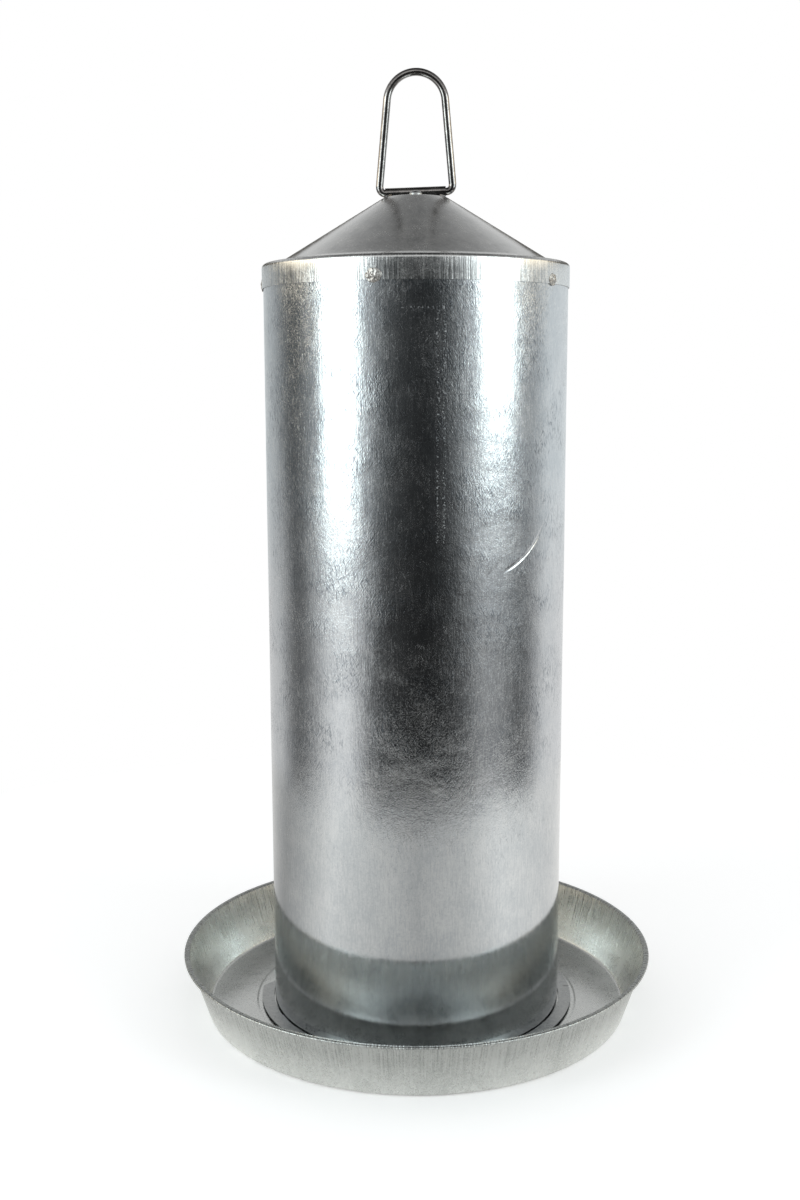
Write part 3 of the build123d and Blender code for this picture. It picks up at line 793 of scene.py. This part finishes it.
def seam_bead(material):
    """The cover's seam: a row of small flat lumps that run into each other."""
    tree, given, result = lump_tree("seam_bead", {
        "Length": "NodeSocketFloat", "Pitch": "NodeSocketFloat", "Width": "NodeSocketFloat",
        "Depth": "NodeSocketFloat", "Material": "NodeSocketMaterial",
    })
    runs = add(tree, "ShaderNodeMath", {0: given.outputs["Length"], 1: given.outputs["Pitch"]}, operation="DIVIDE")
    up = add(tree, "ShaderNodeCombineXYZ", {"Z": given.outputs["Pitch"]})
    line = add(tree, "GeometryNodeMeshLine", {"Count": runs.outputs[0], "Offset": up.outputs[0]})
    lump = add(tree, "GeometryNodeMeshIcoSphere", {"Radius": 1.0, "Subdivisions": 3})
    size = add(tree, "ShaderNodeCombineXYZ", {
        "X": given.outputs["Depth"], "Y": given.outputs["Width"], "Z": given.outputs["Pitch"],
    })
    lumps = add(tree, "GeometryNodeInstanceOnPoints", {
        "Points": line.outputs[0], "Instance": lump.outputs["Mesh"], "Scale": size.outputs[0],
    })
    solid = add(tree, "GeometryNodeRealizeInstances", {"Geometry": lumps.outputs[0]})
    smooth = add(tree, "GeometryNodeSetShadeSmooth", {"Geometry": solid.outputs[0]})
    dressed = add(tree, "GeometryNodeSetMaterial", {
        "Geometry": smooth.outputs[0], "Material": given.outputs["Material"],
    })
    tree.links.new(dressed.outputs[0], result.inputs[0])
    length = seam_high.z - seam_low.z - 2 * SEAM_LUMP_PITCH
    piece = repeated("seam_bead", tree, {
        "Length": length, "Pitch": SEAM_LUMP_PITCH, "Width": 0.75 * MM, "Depth": 0.42 * MM, "Material": material,
    })
    azimuth = radians(SEAM_AZIMUTH)
    middle = cover_radius - COVER_SHEET / 2
    for vertex in piece.data.vertices:
        out, aside, height = vertex.co
        reach = middle + out
        vertex.co = (
            reach * cos(azimuth) - aside * sin(azimuth),
            reach * sin(azimuth) + aside * cos(azimuth),
            seam_low.z + SEAM_LUMP_PITCH + height,
        )
    return placed(piece, "cover_seam_weld", "cover", material)


def dress(node, material):
    """Give a CAD node its finish."""
    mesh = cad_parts[node].data
    mesh.materials.clear()
    mesh.materials.append(material)


# Studio

FLOOR_RADIUS = 0.7
FLOOR_DROP = 0.2 * MM
FLOOR_GLOW = 0.32
FLOOR_GLOW_MIRRORED = 0.3


# How bright the studio is all round the drinker, as the zinc mirrors it: the azimuth from the
# front towards the right, then the brightness above eye level and below it
ROOM = [
    (-180, 0.85, 0.85), (-150, 0.62, 0.70), (-132, 0.52, 0.68), (-121, 0.30, 0.50), (-109, 0.11, 0.16),
    (-98, 0.13, 0.15), (-85, 0.38, 0.36), (-77, 0.60, 0.62), (-66, 0.9, 0.95), (-52, 0.9, 1.0),
    (-43, 0.9, 0.45), (-36, 0.60, 0.20), (-29, 0.20, 0.07), (-18, 0.07, 0.04), (0, 0.03, 0.02),
    (12, 0.03, 0.02), (22, 0.07, 0.03), (30, 0.16, 0.05), (38, 0.5, 0.13), (52, 0.9, 0.36), (66, 0.9, 0.32),
    (78, 0.7, 0.17), (86, 0.55, 0.11), (94, 0.42, 0.15), (104, 0.58, 0.50), (115, 0.9, 0.84), (180, 0.85, 0.85),
]
COOL = (0.95, 1.0, 1.02)
WARM = (1.12, 1.0, 0.80)
# The same from 5 to 20 degrees above eye level, which the handle, the strap and the pan's walls
# mirror, with a tint: warm at the sides
ABOVE = [
    (-180, 0.06, WARM), (-125, 0.08, WARM), (-112, 2.0, WARM), (-82, 2.5, WARM), (-60, 2.2, COOL), (-50, 2.2, COOL),
    (-30, 0.20, COOL), (0, 0.06, COOL), (28, 0.20, COOL), (50, 2.0, COOL), (62, 1.8, COOL), (82, 1.9, WARM),
    (108, 1.8, WARM), (122, 0.08, WARM), (180, 0.06, WARM),
]
LAMP = (0.88, 1.0, 1.01)
# The same for the table top, which is in shade in front
TABLE = [
    (-180, 0.80), (-112, 0.34), (-90, 0.44), (-60, 0.72), (-30, 0.54), (0, 0.40), (30, 0.50), (60, 0.78),
    (90, 0.72), (180, 0.78),
]
# The same from 20 to 40 degrees up, which only bends and edges mirror
CEILING = [(-180, 0.85), (-100, 0.50), (-60, 1.0), (0, 1.0), (60, 1.0), (100, 0.50), (180, 0.85)]


def azimuth_ramp(tree, place, stops):
    """A light that depends on the azimuth of a place or direction, from the front. A stop is an
    azimuth, a brightness and, unless it is white, a tint."""
    parts = add(tree, "ShaderNodeSeparateXYZ", {"Vector": place})
    forward = add(tree, "ShaderNodeMath", {0: parts.outputs[1], 1: -1.0}, operation="MULTIPLY")
    turn = add(tree, "ShaderNodeMath", {0: parts.outputs[0], 1: forward.outputs[0]}, operation="ARCTAN2")
    share = add(tree, "ShaderNodeMapRange", {"Value": turn.outputs[0], "From Min": -pi, "From Max": pi})
    ramp = add(tree, "ShaderNodeValToRGB", {"Fac": share.outputs[0]})
    elements = ramp.color_ramp.elements
    for _ in stops[2:]:
        elements.new(0.5)
    for element, (azimuth, brightness, *tints) in zip(elements, stops):
        tint = tints[0] if tints else (1.0, 1.0, 1.0)
        element.position = (azimuth + 180) / 360
        element.color = (brightness * tint[0], brightness * tint[1], brightness * tint[2], 1.0)
    return ramp.outputs[0]


def floor():
    """A round pale table top that keeps the shadow and is white to the camera. To the zinc it shows painted shade in
    front and painted light near the drinker.
    """
    material, tree = new_material("pale_table_top")
    place = add(tree, "ShaderNodeTexCoord").outputs["Object"]
    path = add(tree, "ShaderNodeLightPath")
    radius = add(tree, "ShaderNodeVectorMath", {0: place}, operation="LENGTH")
    # Painted light: for mirrored rays the table is made lighter within 0.26 m of the axis, close to the drinker's foot
    near = add(tree, "ShaderNodeMapRange", {
        "Value": radius.outputs["Value"], "From Min": 0.18, "From Max": 0.26, "To Min": 0.6, "To Max": 0.0,
    })
    shaded = add(tree, "ShaderNodeMix", {
        0: near.outputs[0], 6: azimuth_ramp(tree, place, TABLE), 7: (0.85, 0.85, 0.85, 1.0),
    }, data_type="RGBA")
    warm = add(tree, "ShaderNodeMix", {
        0: 1.0, 6: shaded.outputs[2], 7: (1.0, 0.985, 0.965, 1.0),
    }, data_type="RGBA", blend_type="MULTIPLY")
    tone = add(tree, "ShaderNodeMix", {
        0: path.outputs["Is Glossy Ray"], 6: (0.84, 0.84, 0.84, 1.0), 7: warm.outputs[2],
    }, data_type="RGBA")
    matt = add(tree, "ShaderNodeBsdfDiffuse", {"Color": tone.outputs[2]})
    mirrored = add(tree, "ShaderNodeMath", {
        0: path.outputs["Is Glossy Ray"], 1: FLOOR_GLOW_MIRRORED,
    }, operation="MULTIPLY")
    strength = add(tree, "ShaderNodeMath", {
        0: path.outputs["Is Camera Ray"], 1: FLOOR_GLOW, 2: mirrored.outputs[0],
    }, operation="MULTIPLY_ADD")
    glow = add(tree, "ShaderNodeEmission", {"Color": tone.outputs[2], "Strength": strength.outputs[0]})
    both = add(tree, "ShaderNodeAddShader", {0: matt.outputs[0], 1: glow.outputs[0]})
    add(tree, "ShaderNodeOutputMaterial", {"Surface": both.outputs[0]})
    outline = [
        Vector((0, -FLOOR_DROP)), Vector((FLOOR_RADIUS, -FLOOR_DROP)),
        Vector((FLOOR_RADIUS, -FLOOR_DROP - 0.02)), Vector((0, -FLOOR_DROP - 0.02)),
    ]
    piece = turned("table_top", outline, segments=96)
    piece.data.materials.append(material)


def room():
    """The world: white to the camera, and for what the zinc mirrors a room with a white back,
    dim in front and overhead. Its light on plain surfaces is even."""
    world = bpy.data.worlds.new("studio")
    bpy.context.scene.world = world
    world.use_nodes = True
    world.cycles.sampling_method = "NONE"
    tree = world.node_tree
    tree.nodes.clear()
    direction = add(tree, "ShaderNodeTexCoord").outputs["Generated"]
    height = add(tree, "ShaderNodeSeparateXYZ", {"Vector": direction}).outputs[2]
    below = add(tree, "ShaderNodeMapRange", {"Value": height, "From Min": -0.07, "From Max": -0.17})
    walls = add(tree, "ShaderNodeMix", {
        0: below.outputs[0], 6: azimuth_ramp(tree, direction, [(turn, high, COOL) for turn, high, _ in ROOM]),
        7: azimuth_ramp(tree, direction, [(turn, low) for turn, _, low in ROOM]),
    }, data_type="RGBA")
    above = add(tree, "ShaderNodeMapRange", {"Value": height, "From Min": 0.12, "From Max": 0.15})
    around = add(tree, "ShaderNodeMix", {
        0: above.outputs[0], 6: walls.outputs[2], 7: azimuth_ramp(tree, direction, ABOVE),
    }, data_type="RGBA")
    higher = add(tree, "ShaderNodeMapRange", {"Value": height, "From Min": 0.31, "From Max": 0.37})
    covered = add(tree, "ShaderNodeMix", {
        0: higher.outputs[0], 6: around.outputs[2], 7: azimuth_ramp(tree, direction, CEILING),
    }, data_type="RGBA")
    overhead = add(tree, "ShaderNodeMapRange", {"Value": height, "From Min": 0.42, "From Max": 0.84})
    highest = add(tree, "ShaderNodeMapRange", {
        "Value": height, "From Min": 0.88, "From Max": 0.96, "To Min": 0.18, "To Max": 0.03,
    })
    mirrored = add(tree, "ShaderNodeMix", {
        0: overhead.outputs[0], 6: covered.outputs[2], 7: highest.outputs[0],
    }, data_type="RGBA")
    path = add(tree, "ShaderNodeLightPath")
    lit = add(tree, "ShaderNodeMix", {
        0: path.outputs["Is Glossy Ray"], 6: (0.82, 0.82, 0.82, 1.0), 7: mirrored.outputs[2],
    }, data_type="RGBA")
    seen = add(tree, "ShaderNodeMix", {
        0: path.outputs["Is Camera Ray"], 6: lit.outputs[2], 7: (1.0, 1.0, 1.0, 1.0),
    }, data_type="RGBA")
    light = add(tree, "ShaderNodeBackground", {"Color": seen.outputs[2], "Strength": 1.0})
    add(tree, "ShaderNodeOutputWorld", {"Surface": light.outputs[0]})


def softbox(name, azimuth, distance, bottom, top, width, brightness):
    """An upright lit panel that faces the drinker, its azimuth counted from the front."""
    data = bpy.data.lights.new(name, "AREA")
    data.shape = "RECTANGLE"
    data.size = width
    data.size_y = top - bottom
    data.energy = brightness * pi * data.size * data.size_y
    data.color = LAMP
    lamp = bpy.data.objects.new(name, data)
    bpy.context.scene.collection.objects.link(lamp)
    turn = radians(azimuth)
    lamp.location = (distance * sin(turn), -distance * cos(turn), (bottom + top) / 2)
    lamp.rotation_euler = (pi / 2, 0, turn)
    lamp.visible_camera = False


def studio():
    """The table, the room, the lamps and the camera."""
    floor()
    room()
    softbox("left_softbox", -57.0, 1.3, 0.26, 1.2, 0.56, 3.0)
    softbox("right_softbox", 60.0, 1.3, 0.38, 1.2, 0.52, 3.0)
    data = bpy.data.cameras.new("camera")
    data.lens = CAMERA_LENS
    data.sensor_width = 36.0
    data.sensor_fit = "AUTO"
    camera = bpy.data.objects.new("camera", data)
    camera.location = CAMERA_PLACE
    camera.rotation_euler = (radians(90 - CAMERA_PITCH), radians(CAMERA_ROLL), 0)
    bpy.context.scene.collection.objects.link(camera)
    bpy.context.scene.camera = camera
    bpy.context.scene.view_settings.view_transform = "Standard"


# The drinker

cover_zinc = rolled_cover_zinc()
pan_zinc = drawn_pan_zinc()
cap_zinc = drawn_cap_zinc()
strip_zinc = plain_zinc()
wire_plating = plated_wire()
solder = tarnished_solder()

pressed_pan(pan_zinc)
rolled_cover(cover_zinc)
pressed_cap(cap_zinc)
rivets(strip_zinc)
wire_loop(wire_plating)
solder_tacks(solder)
seam_bead(solder)
for node in ("bayonet_rails", "inner_tank", "rivet_washers"):
    dress(node, strip_zinc)
dress("handle_strap", wire_plating)
for node in ("tank_seam_weld", "tank_foot_solder", "cap_seal_bead"):
    dress(node, solder)

studio()
